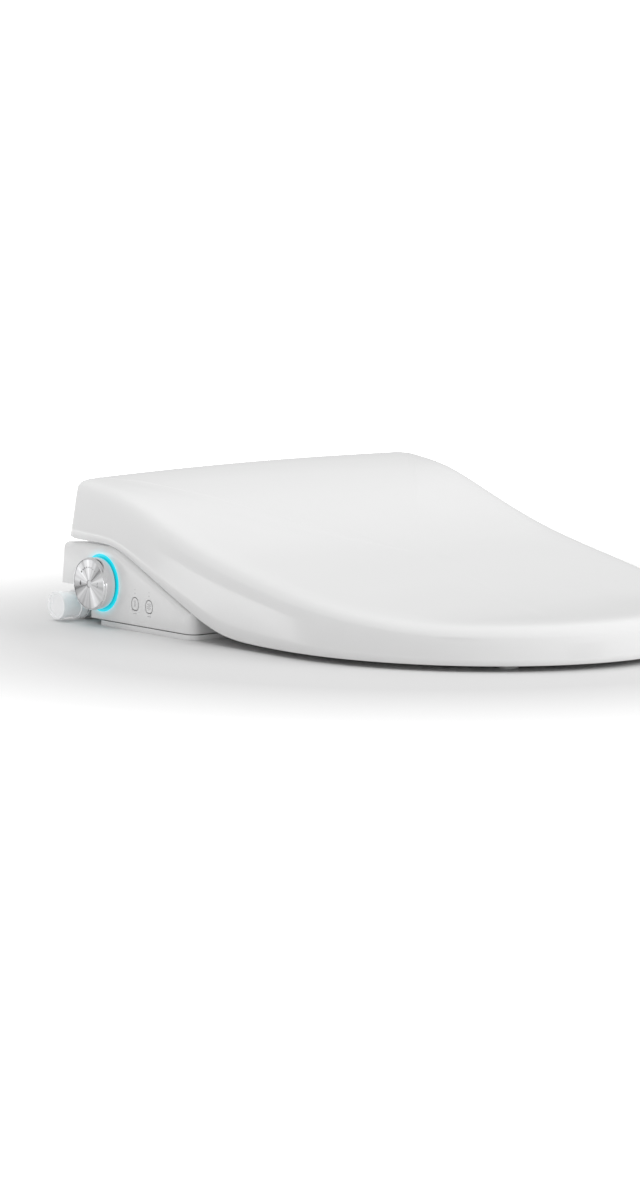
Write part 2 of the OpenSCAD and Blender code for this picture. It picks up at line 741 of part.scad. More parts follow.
module rear_pinion() {
    color("ivory") pinion(-1);
}
module front_pinion() {
    color("ivory") pinion(1);
}
module nozzle_motors() {
    color("silver") both_sides() in_nozzle_frame() difference() {
        union() {
            rod_x(26, 38, [pinion_y, pinion_z], 10);
            rod_x(25.2, 26.1, [pinion_y, pinion_z], 6);
        }
        rod_x(25, 30, [pinion_y, pinion_z], 2.06);
    }
}

// ---- Dryer, fan and deodoriser ----

fan_at = [6, 46];
fan_x = [42, 66];
duct_z = [10, 25];
duct_y = [fascia_y + 3, -12];
module fan_scroll() {
    color(trim) difference() {
        union() {
            rod_x(fan_x[0], fan_x[1], fan_at, 33);
            block([fan_x[0], -12, duct_z[0] + 3], [fan_x[1], 6, 30]);
            block([fan_x[0] + 4, -4, tray_z + case_wall + fit], [fan_x[0] + 10, 14, 16]);
        }
        rod_x(fan_x[0] + 2, fan_x[1] - 2, fan_at, 31);
        rod_x(fan_x[0] - 1, fan_x[0] + 3, fan_at, 16);
        rod_x(fan_x[1] - 3, fan_x[1] + 1, fan_at, 6);
        block([fan_x[0] + 2, -13, duct_z[0] + 5], [fan_x[1] - 2, 6, 28]);
    }
}
module fan_impeller() {
    color("dimgray") {
        rod_x(fan_x[1] - 6, fan_x[1] - 4, fan_at, 24);
        difference() {
            rod_x(fan_x[0] + 4, fan_x[0] + 5.5, fan_at, 24);
            rod_x(fan_x[0] + 3, fan_x[0] + 6, fan_at, 19);
        }
        for (i = [0:23]) translate([0, fan_at[0], fan_at[1]]) rotate([15 * i, 0, 0])
            block([fan_x[0] + 5.4, 19, -0.6], [fan_x[1] - 5.9, 23.6, 0.6]);
        rod_x(fan_x[1] - 14, fan_x[1] - 5.9, fan_at, 6);
        rod_x(fan_x[1] - 6, fan_x[1] + 6, fan_at, 2);
    }
}
module fan_motor() {
    color(steel) difference() {
        union() {
            rod_x(fan_x[1] + 0.2, fan_x[1] + 2.2, fan_at, 20);
            rod_x(fan_x[1] + 2.1, fan_x[1] + 22, fan_at, 15);
        }
        rod_x(fan_x[1], fan_x[1] + 8, fan_at, 2.06);
    }
}
module dryer_duct() {
    color(trim) difference() {
        block([fan_x[0], duct_y[0] + 1, duct_z[0] - 1.6], [fan_x[1], duct_y[1] - fit, duct_z[1] + 3]);
        block([fan_x[0] + 1.6, duct_y[0], duct_z[0]],
              [fan_x[1] - 1.6, duct_y[1] + 1, duct_z[1] + 1.4]);
        rod_x(fan_x[0] - 1, fan_x[1] + 1, fan_at, 33 + fit);
    }
}
module dryer_heater() {
    color("darkgray") difference() {
        block([fan_x[0] + 1.8, -56, duct_z[0] + 0.2], [fan_x[1] - 1.8, -44, duct_z[1] + 1.2]);
        for (z = [duct_z[0] + 2:2.8:duct_z[1]])
            block([fan_x[0] + 4, -57, z], [fan_x[1] - 4, -43, z + 1.4]);
    }
}
module dryer_flap() {
    color(white) {
        rod_x(38, 74, flap_hinge, 1.2);
        block([40.4, flap_hinge[0] - 0.9, 7], [71.6, flap_hinge[0] + 0.8, flap_hinge[1]]);
    }
}
module deodoriser_cartridge() {
    low = [126, cartridge_y[0], cartridge_z[0]];
    high = [side_x, cartridge_y[1], cartridge_z[1]];
    color(white) difference() {
        block(low, high);
        for (z = [low[2] + 3:5:high[2] - 5]) block([low[0] - 1, low[1] + 3, z],
                                                   [low[0] + 2, high[1] - 3, z + 2.4]);
        block([side_x - 4, low[1] + 8, low[2] + 12], [side_x - 1.6, high[1] - 8, low[2] + 19]);
        block([side_x - 4, low[1] + 8, low[2] + 12], [side_x + 1, high[1] - 8, low[2] + 17]);
    }
}

// ---- Electronics and controls ----

module main_board() {
    color("seagreen") difference() {
        block([122, -86, 12.4], [156, -2, 14]);
        for (y = [-82, -6]) rod_z(12, 15, [126, y], 1.6);
    }
    color("seagreen") for (y = [-76, -12])
        block([150, y - 2, tray_z + case_wall + fit], [154, y + 2, 12.5]);
}
module power_module() {
    color("gray") {
        block([124, -46, 14.2], [150, -22, 30]);
        for (y = [-19, -10]) rod_z(14.2, 28, [134, y], 4);
        for (y = [-45:4:-24]) block([151, y, 14.2], [156, y + 1.4, 26]);
    }
}
module cable_gland() {
    color("dimgray") difference() {
        union() {
            rod_y(70, housing_back + 1.6, [104, 22], 6);
            rod_y(housing_back - 0.2, housing_back + 2, [104, 22], 8.5);
        }
        rod_y(69, housing_back + 3, [104, 22], 3.2);
    }
}
knob_face = -side_x - knob_proud;
module knob_disc() {
    color(steel) difference() {
        rod_x(knob_face, knob_face + 1.4, knob_at, knob_dia / 2 - 1.5);
        rod_x(knob_face - 1, knob_face + 3, knob_at, 3.1);
    }
}
// Turned rim: two polished steps with a groove between them
module knob_bezel() {
    r = knob_dia / 2;
    color(steel) translate([knob_face, knob_at[0], knob_at[1]]) rotate([0, 90, 0])
        rotate_extrude()
            polygon([[r - 1.4, 1.6], [r - 1.4, -0.2], [r - 1.1, -0.4], [r - 0.8, -0.3],
                     [r - 0.3, 0.5], [r - 0.3, 1.2], [r - 0.7, 1.5], [r - 0.7, 1.9], [r, 2.5],
                     [r, 3.4], [r - 2.4, 3.4], [r - 2.4, 1.6]]);
}
module knob_skirt() {
    color("lightgray") difference() {
        union() {
            rod_x(knob_face + 3.5, -side_x - knob_gap, knob_at, knob_dia / 2 - 0.3);
            rod_x(knob_face + 1.8, knob_face + 3.6, knob_at, knob_dia / 2 - 2.5);
        }
        rod_x(knob_face + 4.6, -side_x, knob_at, knob_dia / 2 - 2.5);
        rod_x(knob_face + 1, -side_x, knob_at, 3.04);
    }
}
module knob_shaft() {
    color(steel) {
        rod_x(knob_face + 0.4, -156.1, knob_at, 3);
        rod_x(knob_face + 4.8, knob_face + 6.8, knob_at, 7);
    }
}
module encoder_plunger() {
    color(steel) rod_x(-156, -153.5, knob_at, 5.4);
}
module rotary_encoder() {
    color("darkslategray") difference() {
        union() {
            block([-164, knob_at[0] - 7, knob_at[1] - 7], [-149, knob_at[0] + 7, knob_at[1] + 7]);
            rod_x(-171, -163.9, knob_at, 4.6);
        }
        rod_x(-172, -152, knob_at, 3 + run_fit);
        rod_x(-158, -151, knob_at, 5.5);
    }
}
module light_ring() {
    color("turquoise") difference() {
        rod_x(-side_x - 0.3, panel_wall - side_x, knob_at, ring_r);
        rod_x(-side_x - 1, -172, knob_at, 19.6);
    }
}
module touch_board() {
    color("seagreen") difference() {
        across(-172.6, -171.2)
            polygon([[-58, 10], [34, 10], [36, 31], [48, 31], [48, 55], [2, 55], [-58, 29]]);
        rod_x(-174, -170, knob_at, 4.9);
    }
}
module release_button() {
    color(white) {
        block([163, -60, 6.8], [side_x + 1.6, -44, 14.2]);
        block([160, -56, 8], [163.1, -48, 13]);
    }
}
module sensor_window() {
    color("black") rod_y(fascia_y - 0.3, fascia_y + 4, [-72, 16], 7);
}
// ---- Hinge ----

module damper_barrels() {
    color("dimgray") both_sides() {
        rod_x(46, 98, [hinge_y, hinge_z], barrel_r - case_wall - fit);
        rod_x(97.9, 100, [hinge_y, hinge_z], 6);
    }
}
module hinge_shafts() {
    color(steel) both_sides() {
        rod_x(100.2, lug_x[1] + 1, [hinge_y, hinge_z], shaft_r);
        rod_x(104, 108, [hinge_y, hinge_z], barrel_r - case_wall - fit);
    }
}

// ---- Seat ----

ring_steps = 72;
seat_mid = -252;
seat_w = half_w - ring_inset;
function power_of(v, e) = sign(v) * abs(v) ^ e;
// Outer plan of the ring, moved inwards by inset
function seat_out(a, inset) =
    let (w = seat_w - inset, f = front_reach - straight_end - ring_inset - inset,
         h = straight_end + bar_back - inset)
    a > 180 ? [w * cos(a), -straight_end + f * sin(a)]
            : [w * power_of(cos(a), 0.34), -straight_end + h * power_of(sin(a), 0.34)];
function seat_in(a, inset) =
    [(opening_width / 2 + inset) * power_of(cos(a), 0.86),
     seat_mid + (opening_length / 2 + inset) * power_of(sin(a), 0.86)];
function seat_top(y) = 23 + 11 * (y + 420) / 320;
// Cross-section of the ring's upper shell: [distance from its outer edge, height]
function ring_section(w, t) = [
    [0, seat_split], [0, t - 12], [1, t - 7.5], [4, t - 3.2], [9, t - 0.9], [17, t],
    [w * 0.5, t - 1.8], [w - 15, t - 1.4], [w - 7, t - 3.6], [w - 2, t - 8], [w, t - 12.5],
    [w, seat_split], [w - ring_wall, seat_split], [w - ring_wall, t - 13.5],
    [w - 4.4, t - 9.6], [w - 9, t - 6], [w - 16, t - 4], [w * 0.5, t - 4.4],
    [17, t - ring_wall], [10, t - 3.6], [5.8, t - 5.6], [3.4, t - 9], [ring_wall, t - 13],
    [ring_wall, seat_split],
];
module ring_skin() {
    stations = [for (i = [0:ring_steps - 1])
        let (a = 360 * i / ring_steps, o = seat_out(a, 0), n = seat_in(a, 0),
             w = norm(n - o), d = (n - o) / w)
        [for (q = ring_section(w, seat_top(o[1] * 0.6 + n[1] * 0.4)))
            [o[0] + d[0] * q[0], o[1] + d[1] * q[0], q[1]]]];
    m = len(stations[0]);
    polyhedron([for (r = stations) each r],
        [for (i = [0:ring_steps - 1], j = [0:m - 1])
            let (a = i * m + j, b = i * m + (j + 1) % m, k = (i + 1) % ring_steps,
                 c = k * m + j, d = k * m + (j + 1) % m)
            each [[a, b, d], [a, d, c]]]);
}
module ring_plate(z0, z1, outer, inner) {
    translate([0, 0, z0]) linear_extrude(z1 - z0) difference() {
        polygon([for (i = [0:ring_steps - 1]) seat_out(360 * i / ring_steps, outer)]);
        polygon([for (i = [0:ring_steps - 1]) seat_in(360 * i / ring_steps, inner)]);
    }
}
module seat_top_shell() {
    color(white) difference() {
        ring_skin();
        both_sides() block([ear_x[0] - 0.4, bar_back - 16, seat_split - 1],
                           [ear_x[1] + 0.4, bar_back + 5, 50]);
    }
}
module seat_bottom_shell() {
    color(white) {
        ring_plate(ring_floor, seat_split - 0.3, 0.4, 0.4);
        for (a = [20, 160, 205, 245, 295, 335]) let (p = seat_out(a, 34))
            rod_z(seat_split - 0.4, 15, p, 4);
        both_sides() difference() {
            union() {
                across(ear_x[0], ear_x[1]) polygon(concat(
                    [[bar_back - 14, ring_floor], [bar_back + 0.4, ring_floor],
                     [bar_back + 0.4, 22.6]],
                    [for (y = [-99:12:-3]) [y, skirt_edge(y) + 0.4]],
                    [[20, 69], [38, 79], [hinge_y, hinge_z], [hinge_y - 3, hinge_z + 8], [24, 95]],
                    [for (y = [0:-10:-100]) [y, skirt_edge(y) + 14]],
                    [[bar_back - 14, 24]]));
                rod_x(ear_x[0], ear_x[1], [hinge_y, hinge_z], knuckle_r);
            }
            rod_x(ear_x[0] - 1, ear_x[1] + 1, [hinge_y, hinge_z], shaft_r + run_fit);
        }
    }
}
module seat_heater() {
    color("silver") ring_plate(15.2, 15.8, 16, 16);
}
module seat_bumpers() {
    color("lightgray") for (at = [[135, -190], [80, -376]]) both_sides()
        rod_z(0, ring_floor - 0.2, at, 8);
}

// ---- Lid ----

module lid_shell() {
    color(white) shell(lid_rings(0), lid_rings(lid_wall));
}
module lid_hinge_lugs() {
    color(white) both_sides() difference() {
        union() {
            across(lug_x[0], lug_x[1]) polygon(concat(
                [[41, 90], [hinge_y, hinge_z - 6], [hinge_y + 2, hinge_z + 5]],
                [for (y = [45:-6:3])
                    [y, lid_top([lug_x[1], y]) - lid_wall - 1.3 - max(0, y - 42) * 0.7]]));
            rod_x(lug_x[0], lug_x[1], [hinge_y, hinge_z], knuckle_r);
        }
        rod_x(lug_x[0] - 1, lug_x[1] + 2, [hinge_y, hinge_z], shaft_r + run_fit);
    }
}
module lid_bumpers() {
    color("lightgray") both_sides()
        rod_z(seat_top(-392) + 0.6, lid_top([76, -392]) - lid_wall - 2.8, [70, -386], 6);
}

mounting_plate();
bolt_clamp_plates();
mounting_bolts();
base_tray();
top_cover();
front_fascia();
control_panel();
left_panel();
case_screws();
inlet_fitting();
filter_chamber();
inlet_strainer();
filter_cap();
filter_seal();
solenoid_valve();
valve_plunger();
valve_coil();
heater_tank();
heater_lid();
thermal_cutout();
diverter_valve();
diverter_motor();
water_hoses();
nozzle_carriage();
rear_nozzle();
rear_nozzle_tip();
front_nozzle();
front_nozzle_tip();
nozzle_motors();
rear_pinion();
front_pinion();
fan_scroll();
fan_impeller();
fan_motor();
dryer_duct();
dryer_heater();
dryer_flap();
deodoriser_cartridge();
main_board();
power_module();
cable_gland();
knob_disc();
knob_bezel();
knob_skirt();
knob_shaft();
rotary_encoder();
light_ring();
touch_board();
encoder_plunger();
release_button();
damper_barrels();
hinge_shafts();
seat_top_shell();
seat_bottom_shell();
seat_heater();
seat_bumpers();
lid_shell();
lid_hinge_lugs();
lid_bumpers();
sensor_window();
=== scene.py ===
"""Electric bidet seat: finishes, fine pieces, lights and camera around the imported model."""
import logging
import math
from dataclasses import dataclass, field
from enum import Enum
from typing import Any, Sequence

import bmesh
import bpy
from mathutils import Matrix, Vector


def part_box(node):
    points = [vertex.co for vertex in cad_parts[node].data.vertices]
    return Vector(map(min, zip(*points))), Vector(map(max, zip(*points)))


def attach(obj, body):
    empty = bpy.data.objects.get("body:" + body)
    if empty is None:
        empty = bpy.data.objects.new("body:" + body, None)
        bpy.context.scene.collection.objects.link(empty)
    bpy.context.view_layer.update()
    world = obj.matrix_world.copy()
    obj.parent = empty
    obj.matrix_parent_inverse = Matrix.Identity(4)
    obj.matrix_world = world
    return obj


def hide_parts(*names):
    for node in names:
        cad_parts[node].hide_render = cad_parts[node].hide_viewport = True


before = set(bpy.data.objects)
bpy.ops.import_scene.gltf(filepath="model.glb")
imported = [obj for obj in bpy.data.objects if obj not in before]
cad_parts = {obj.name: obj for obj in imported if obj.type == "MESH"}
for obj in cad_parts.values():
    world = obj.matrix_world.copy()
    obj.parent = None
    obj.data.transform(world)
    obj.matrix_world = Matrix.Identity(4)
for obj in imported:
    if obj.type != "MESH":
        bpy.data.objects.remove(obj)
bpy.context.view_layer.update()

logging.basicConfig(level=logging.INFO, format="%(message)s")
LOG = logging.getLogger("bidet_seat")
MM = 0.001


class Socket:
    """A shader value that can be used in plain arithmetic."""

    def __init__(self, tree: bpy.types.NodeTree, socket: bpy.types.NodeSocket) -> None:
        """Keeps the socket and the tree that its Math nodes go into.

        Args:
            tree: The node tree.
            socket: The output socket that holds the value.
        """
        self.tree = tree
        self.socket = socket

    def _math(self, operation: str, *values: Any) -> "Socket":
        """Adds one Math node.

        Args:
            operation: Its operation.
            values: Its inputs, as sockets or numbers.

        Returns:
            The node's result.
        """
        made = self.tree.nodes.new("ShaderNodeMath")
        made.operation = operation
        for place, value in zip(made.inputs, values):
            if isinstance(value, Socket):
                self.tree.links.new(value.socket, place)
            else:
                place.default_value = value
        return Socket(self.tree, made.outputs[0])

    def __add__(self, other: Any) -> "Socket":
        """Sum."""
        return self._math("ADD", self, other)

    __radd__ = __add__

    def __sub__(self, other: Any) -> "Socket":
        """Difference."""
        return self._math("SUBTRACT", self, other)

    def __rsub__(self, other: Any) -> "Socket":
        """Reflected difference."""
        return self._math("SUBTRACT", other, self)

    def __mul__(self, other: Any) -> "Socket":
        """Product."""
        return self._math("MULTIPLY", self, other)

    __rmul__ = __mul__

    def __truediv__(self, other: Any) -> "Socket":
        """Quotient."""
        return self._math("DIVIDE", self, other)

    def __pow__(self, other: Any) -> "Socket":
        """Power."""
        return self._math("POWER", self, other)

    def __gt__(self, other: Any) -> "Socket":
        """One where this is greater, else nought."""
        return self._math("GREATER_THAN", self, other)

    def __lt__(self, other: Any) -> "Socket":
        """One where this is less, else nought."""
        return self._math("LESS_THAN", self, other)

    def sin(self) -> "Socket":
        """Sine."""
        return self._math("SINE", self)

    def root(self) -> "Socket":
        """Square root."""
        return self._math("SQRT", self)

    def angle_to(self, other: "Socket") -> "Socket":
        """Angle of the point (other, self) about the origin."""
        return self._math("ARCTAN2", self, other)

    def held(self) -> "Socket":
        """The value held between nought and one."""
        made = self._math("ADD", self, 0.0)
        made.socket.node.use_clamp = True
        return made


class Recipe:
    """The node tree of one material."""

    def __init__(self, name: str) -> None:
        """Starts a material with one Principled shader.

        Args:
            name: The material's name.
        """
        self.material = bpy.data.materials.new(name)
        self.material.use_nodes = True
        self.tree = self.material.node_tree
        self.shader = self.tree.nodes["Principled BSDF"]

    def node(self, kind: str, settings: dict[str, Any] | None = None,
             inputs: dict[str, Any] | None = None, output: int | str = 0) -> Socket:
        """Adds a node of any type.

        Args:
            kind: The node's type.
            settings: Its properties, or a ramp's stops.
            inputs: Values or links of its sockets.
            output: Which of its outputs is wanted.

        Returns:
            That output.
        """
        made = self.tree.nodes.new(kind)
        for key, value in (settings or {}).items():
            if key == "stops":
                self._stops(made.color_ramp, value)
            else:
                setattr(made, key, value)
        for key, value in (inputs or {}).items():
            self._feed(made.inputs[key], value)
        return Socket(self.tree, made.outputs[output])

    @staticmethod
    def _stops(ramp: bpy.types.ColorRamp, stops: Sequence[tuple[float, Any]]) -> None:
        """Sets the stops of a colour ramp.

        Args:
            ramp: The ramp.
            stops: Pairs of place and colour.
        """
        while len(ramp.elements) < len(stops):
            ramp.elements.new(0.5)
        for element, (place, colour) in zip(ramp.elements, stops):
            element.position = place
            element.color = (*colour, 1.0)

    def _feed(self, place: bpy.types.NodeSocket, value: Any) -> None:
        """Links or sets one input.

        Args:
            place: The input socket.
            value: A Socket, a number or a tuple.
        """
        if isinstance(value, Socket):
            self.tree.links.new(value.socket, place)
        else:
            place.default_value = value

    def surface(self, **inputs: Any) -> None:
        """Feeds the Principled shader; an underscore stands for a space in a socket's name."""
        for key, value in inputs.items():
            self._feed(self.shader.inputs[key.replace("_", " ")], value)

    def place(self, centre: Sequence[float] = (0, 0, 0),
              turn: Sequence[float] = (0, 0, 0), scale: Sequence[float] = (1, 1, 1)) -> Socket:
        """Object coordinates, moved to a centre, turned and scaled.

        Args:
            centre: The pattern's centre in the row frame.
            turn: Its turn, in radians.
            scale: Its scale on each axis.

        Returns:
            The coordinates.
        """
        raw = self.node("ShaderNodeTexCoord", output="Object")
        near = self.node("ShaderNodeVectorMath", {"operation": "SUBTRACT"},
                         {0: raw, 1: tuple(centre)})
        return self.node("ShaderNodeMapping", {}, {"Vector": near, "Rotation": tuple(turn),
                                                   "Scale": tuple(scale)})

    def parts(self, vector: Socket) -> tuple[Socket, Socket, Socket]:
        """The X, Y and Z of a vector."""
        made = self.tree.nodes.new("ShaderNodeSeparateXYZ")
        self.tree.links.new(vector.socket, made.inputs[0])
        return tuple(Socket(self.tree, o) for o in made.outputs)

    def noise(self, vector: Socket, scale: float, detail: float = 2.0,
              rough: float = 0.5) -> Socket:
        """Noise between nought and one.

        Args:
            vector: Its coordinates.
            scale: Its scale.
            detail: Its octaves.
            rough: How much the finer octaves weigh.

        Returns:
            The noise value.
        """
        return self.node("ShaderNodeTexNoise", {}, {"Vector": vector, "Scale": scale,
                                                    "Detail": detail, "Roughness": rough})

    def blend(self, share: Any, low: Sequence[float], high: Sequence[float]) -> Socket:
        """Mixes two colours.

        Args:
            share: How much of the second colour, as a socket or number.
            low: The first colour.
            high: The second colour.

        Returns:
            The mixed colour.
        """
        made = self.tree.nodes.new("ShaderNodeMix")
        made.data_type = "RGBA"
        self._feed(made.inputs["Factor"], share)
        colours = [s for s in made.inputs if s.type == "RGBA"]
        for place, value in zip(colours, (low, high)):
            self._feed(place, value if isinstance(value, Socket) else (*value, 1.0))
        return Socket(self.tree, [s for s in made.outputs if s.type == "RGBA"][0])

    def bump(self, height: Socket, strength: float, distance: float) -> Socket:
        """A normal from a height.

        Args:
            height: The height between nought and one.
            strength: How much it shows.
            distance: Its depth in metres.

        Returns:
            The normal.
        """
        return self.node("ShaderNodeBump", {}, {"Height": height, "Strength": strength,
                                                "Distance": distance})


def shade(colour: Sequence[float], factor: float) -> tuple[float, float, float]:
    """A colour made lighter or darker."""
    return tuple(min(1.0, c * factor) for c in colour)


@dataclass(frozen=True)
class MouldedPlastic:
    """Moulded plastic: faint orange peel, slight clouding and handled patches."""

    name: str
    colour: tuple[float, float, float] = (0.8, 0.8, 0.8)
    roughness: float = 0.18
    peel: float = 0.05
    coat: float = 0.3
    peel_scale: float = 260.0

    def make(self) -> bpy.types.Material:
        """Builds the material."""
        r = Recipe(self.name)
        at = r.place()
        cloud = r.noise(at, 9.0, 3.0)
        wear = r.noise(at, 38.0, 4.0, 0.6)
        r.surface(Base_Color=r.blend(cloud, shade(self.colour, 0.975), shade(self.colour, 1.015)),
                  Roughness=(wear - 0.5) * 0.07 + self.roughness,
                  Normal=r.bump(r.noise(at, self.peel_scale, 2.0), self.peel, 0.0004),
                  Coat_Roughness=0.06, IOR=1.5)
        r.shader.inputs["Coat Weight"].default_value = self.coat
        return r.material


@dataclass(frozen=True)
class PaintedGlowPanel:
    """Moulded plastic with a faint coloured glow painted around a ring, as emission standing in
    for the light ring's spill onto it.
    """

    name: str
    centre: tuple[float, float, float]
    ring: float
    reach: float = 0.007
    colour: tuple[float, float, float] = (0.8, 0.8, 0.8)
    glow: tuple[float, float, float] = (0.0, 0.45, 0.55)

    def make(self) -> bpy.types.Material:
        """Builds the material."""
        r = Recipe(self.name)
        at = r.place()
        _, y, z = r.parts(r.place(self.centre))
        # painted glow: the panel's emission rises towards the ring, standing in for the light
        # ring's spill
        off = ((y * y + z * z).root() - self.ring) / self.reach
        near = ((1.0 - off).held()) ** 2.4
        cloud = r.noise(at, 9.0, 3.0)
        r.surface(Base_Color=r.blend(cloud, shade(self.colour, 0.975), shade(self.colour, 1.015)),
                  Roughness=r.noise(at, 38.0, 4.0, 0.6) * 0.07 + 0.16,
                  Emission_Color=r.blend(near, (0.0, 0.0, 0.0), self.glow),
                  Normal=r.bump(r.noise(at, 260.0, 2.0), 0.05, 0.0004))
        r.shader.inputs["Emission Strength"].default_value = 0.55
        r.shader.inputs["Coat Weight"].default_value = 0.3
        r.shader.inputs["Coat Roughness"].default_value = 0.06
        return r.material


@dataclass(frozen=True)
class GrainedPlastic:
    """Inner-part plastic with a spark-eroded grain."""

    name: str
    colour: tuple[float, float, float] = (0.4, 0.4, 0.4)
    roughness: float = 0.5

    def make(self) -> bpy.types.Material:
        """Builds the material."""
        r = Recipe(self.name)
        at = r.place()
        grain = r.noise(at, 900.0, 3.0, 0.7)
        cloud = r.noise(at, 22.0, 3.0)
        r.surface(Base_Color=r.blend(cloud, shade(self.colour, 0.88), shade(self.colour, 1.1)),
                  Roughness=grain * 0.16 + (self.roughness - 0.08),
                  Normal=r.bump(grain, 0.22, 0.0003))
        return r.material


@dataclass(frozen=True)
class MilkyPlastic:
    """Translucent white plastic with a faint painted glow inside, as emission standing in for
    light scattered through it.
    """

    name: str
    colour: tuple[float, float, float] = (0.9, 0.92, 0.93)
    painted_inner_glow: float = 0.1

    def make(self) -> bpy.types.Material:
        """Builds the material."""
        r = Recipe(self.name)
        at = r.place()
        cloud = r.noise(at, 60.0, 3.0)
        # painted glow: emission stands in for light passing through the cap
        r.surface(Base_Color=r.blend(cloud, shade(self.colour, 0.97), shade(self.colour, 1.03)),
                  Roughness=cloud * 0.12 + 0.2,
                  Emission_Color=r.blend(cloud, shade(self.colour, 0.9), self.colour),
                  Normal=r.bump(r.noise(at, 500.0), 0.06, 0.0003))
        r.shader.inputs["IOR"].default_value = 1.42
        r.shader.inputs["Emission Strength"].default_value = self.painted_inner_glow
        r.shader.inputs["Transmission Weight"].default_value = 0.12
        r.shader.inputs["Subsurface Weight"].default_value = 0.5
        r.shader.inputs["Subsurface Radius"].default_value = (0.008, 0.008, 0.008)
        return r.material


class Grain(Enum):
    """Axis along which a metal is brushed."""

    ALONG_X = (1.0, 40.0, 40.0)
    ALONG_Y = (40.0, 1.0, 40.0)
    ALONG_Z = (40.0, 40.0, 1.0)


@dataclass(frozen=True)
class BrushedMetal:
    """Metal brushed along one axis, with faint darker patches."""

    name: str
    colour: tuple[float, float, float] = (0.62, 0.62, 0.63)
    roughness: float = 0.3
    grain: Grain = Grain.ALONG_X

    def make(self) -> bpy.types.Material:
        """Builds the material."""
        r = Recipe(self.name)
        lines = r.noise(r.place(scale=self.grain.value), 60.0, 3.0, 0.7)
        patch = r.noise(r.place(), 30.0, 3.0)
        r.surface(Base_Color=r.blend(lines * 0.6 + patch * 0.4, shade(self.colour, 0.82),
                                     shade(self.colour, 1.12)),
                  Roughness=lines * 0.18 + (self.roughness - 0.08),
                  Normal=r.bump(lines, 0.12, 0.0002))
        r.shader.inputs["Metallic"].default_value = 1.0
        return r.material


@dataclass(frozen=True)
class SpunMetal:
    """A turned face: concentric tool lines about an axis along X, with sectors of varying
    roughness whose bright and dark fans are painted highlights in the colour.
    """

    name: str
    centre: tuple[float, float, float]
    colour: tuple[float, float, float] = (0.66, 0.66, 0.67)

    def make(self) -> bpy.types.Material:
        """Builds the material."""
        r = Recipe(self.name)
        _, y, z = r.parts(r.place(self.centre))
        radius = (y * y + z * z).root()
        turn = y.angle_to(z)
        lines = (radius * 9500.0).sin() * 0.5 + (radius * 23100.0 + 1.3).sin() * 0.5
        # painted highlight: bright and dark fans by angle stand in for the spun face's reflections
        fan = (turn * 2.0 + 0.5).sin() * 0.4 + (turn * 5.0 + 2.1).sin() * 0.34 \
            + (turn * 9.0 + 0.4).sin() * 0.24 + (turn * 23.0).sin() * 0.14
        share = (fan * 0.5 + 0.52 + lines * 0.06).held()
        r.surface(Base_Color=r.blend(share, shade(self.colour, 0.3), shade(self.colour, 1.45)),
                  Roughness=share * 0.1 + 0.26,
                  Normal=r.bump(lines * 0.5 + 0.5, 0.25, 0.00005))
        r.shader.inputs["Metallic"].default_value = 0.85
        r.shader.inputs["Anisotropic"].default_value = 0.5
        return r.material


@dataclass(frozen=True)
class PolishedChrome:
    """Bright plated metal with fine handling marks."""

    name: str
    colour: tuple[float, float, float] = (0.86, 0.86, 0.87)
    roughness: float = 0.07

    def make(self) -> bpy.types.Material:
        """Builds the material."""
        r = Recipe(self.name)
        at = r.place()
        marks = r.noise(at, 300.0, 4.0, 0.7)
        r.surface(Base_Color=r.blend(marks, shade(self.colour, 0.95), shade(self.colour, 1.04)),
                  Roughness=marks * 0.06 + self.roughness,
                  Normal=r.bump(marks, 0.02, 0.0002))
        r.shader.inputs["Metallic"].default_value = 1.0
        return r.material


@dataclass(frozen=True)
class LitPlastic:
    """A lit light guide, brighter along the middle of its band."""

    name: str
    centre: tuple[float, float, float]
    band: float
    colour: tuple[float, float, float] = (0.01, 0.52, 0.62)
    strength: float = 0.85

    def make(self) -> bpy.types.Material:
        """Builds the material."""
        r = Recipe(self.name)
        _, y, z = r.parts(r.place(self.centre))
        off = ((y * y + z * z).root() - self.band) / 0.0016
        core = (1.0 - off * off).held()
        ripple = r.noise(r.place(), 140.0, 2.0) * 0.2
        glow = r.blend((core * 0.8 + ripple).held(), shade(self.colour, 0.7), self.colour)
        r.surface(Base_Color=glow, Emission_Color=glow, Roughness=ripple + 0.2)
        r.shader.inputs["Emission Strength"].default_value = self.strength
        return r.material


@dataclass(frozen=True)
class Elastomer:
    """Soft rubbery pad."""

    name: str
    colour: tuple[float, float, float] = (0.55, 0.55, 0.55)

    def make(self) -> bpy.types.Material:
        """Builds the material."""
        r = Recipe(self.name)
        at = r.place()
        dust = r.noise(at, 120.0, 5.0, 0.7)
        r.surface(Base_Color=r.blend(dust, shade(self.colour, 0.85), shade(self.colour, 1.15)),
                  Roughness=dust * 0.2 + 0.55, Normal=r.bump(dust, 0.2, 0.0003))
        return r.material


@dataclass(frozen=True)
class CircuitBoard:
    """Solder mask over a grid of copper tracks."""

    name: str
    colour: tuple[float, float, float] = (0.015, 0.16, 0.07)

    def make(self) -> bpy.types.Material:
        """Builds the material."""
        r = Recipe(self.name)
        x, y, z = r.parts(r.place())
        wander = r.noise(r.place(), 70.0, 1.0) * 3.0
        fine = (x * 900.0 + z * 900.0 + wander).sin() > 0.75
        coarse = (y * 210.0 + wander).sin() > -0.3
        tracks = fine * coarse
        r.surface(Base_Color=r.blend(tracks, self.colour, shade(self.colour, 2.1)),
                  Roughness=tracks * 0.12 + 0.24, Normal=r.bump(tracks, 0.3, 0.0002))
        return r.material


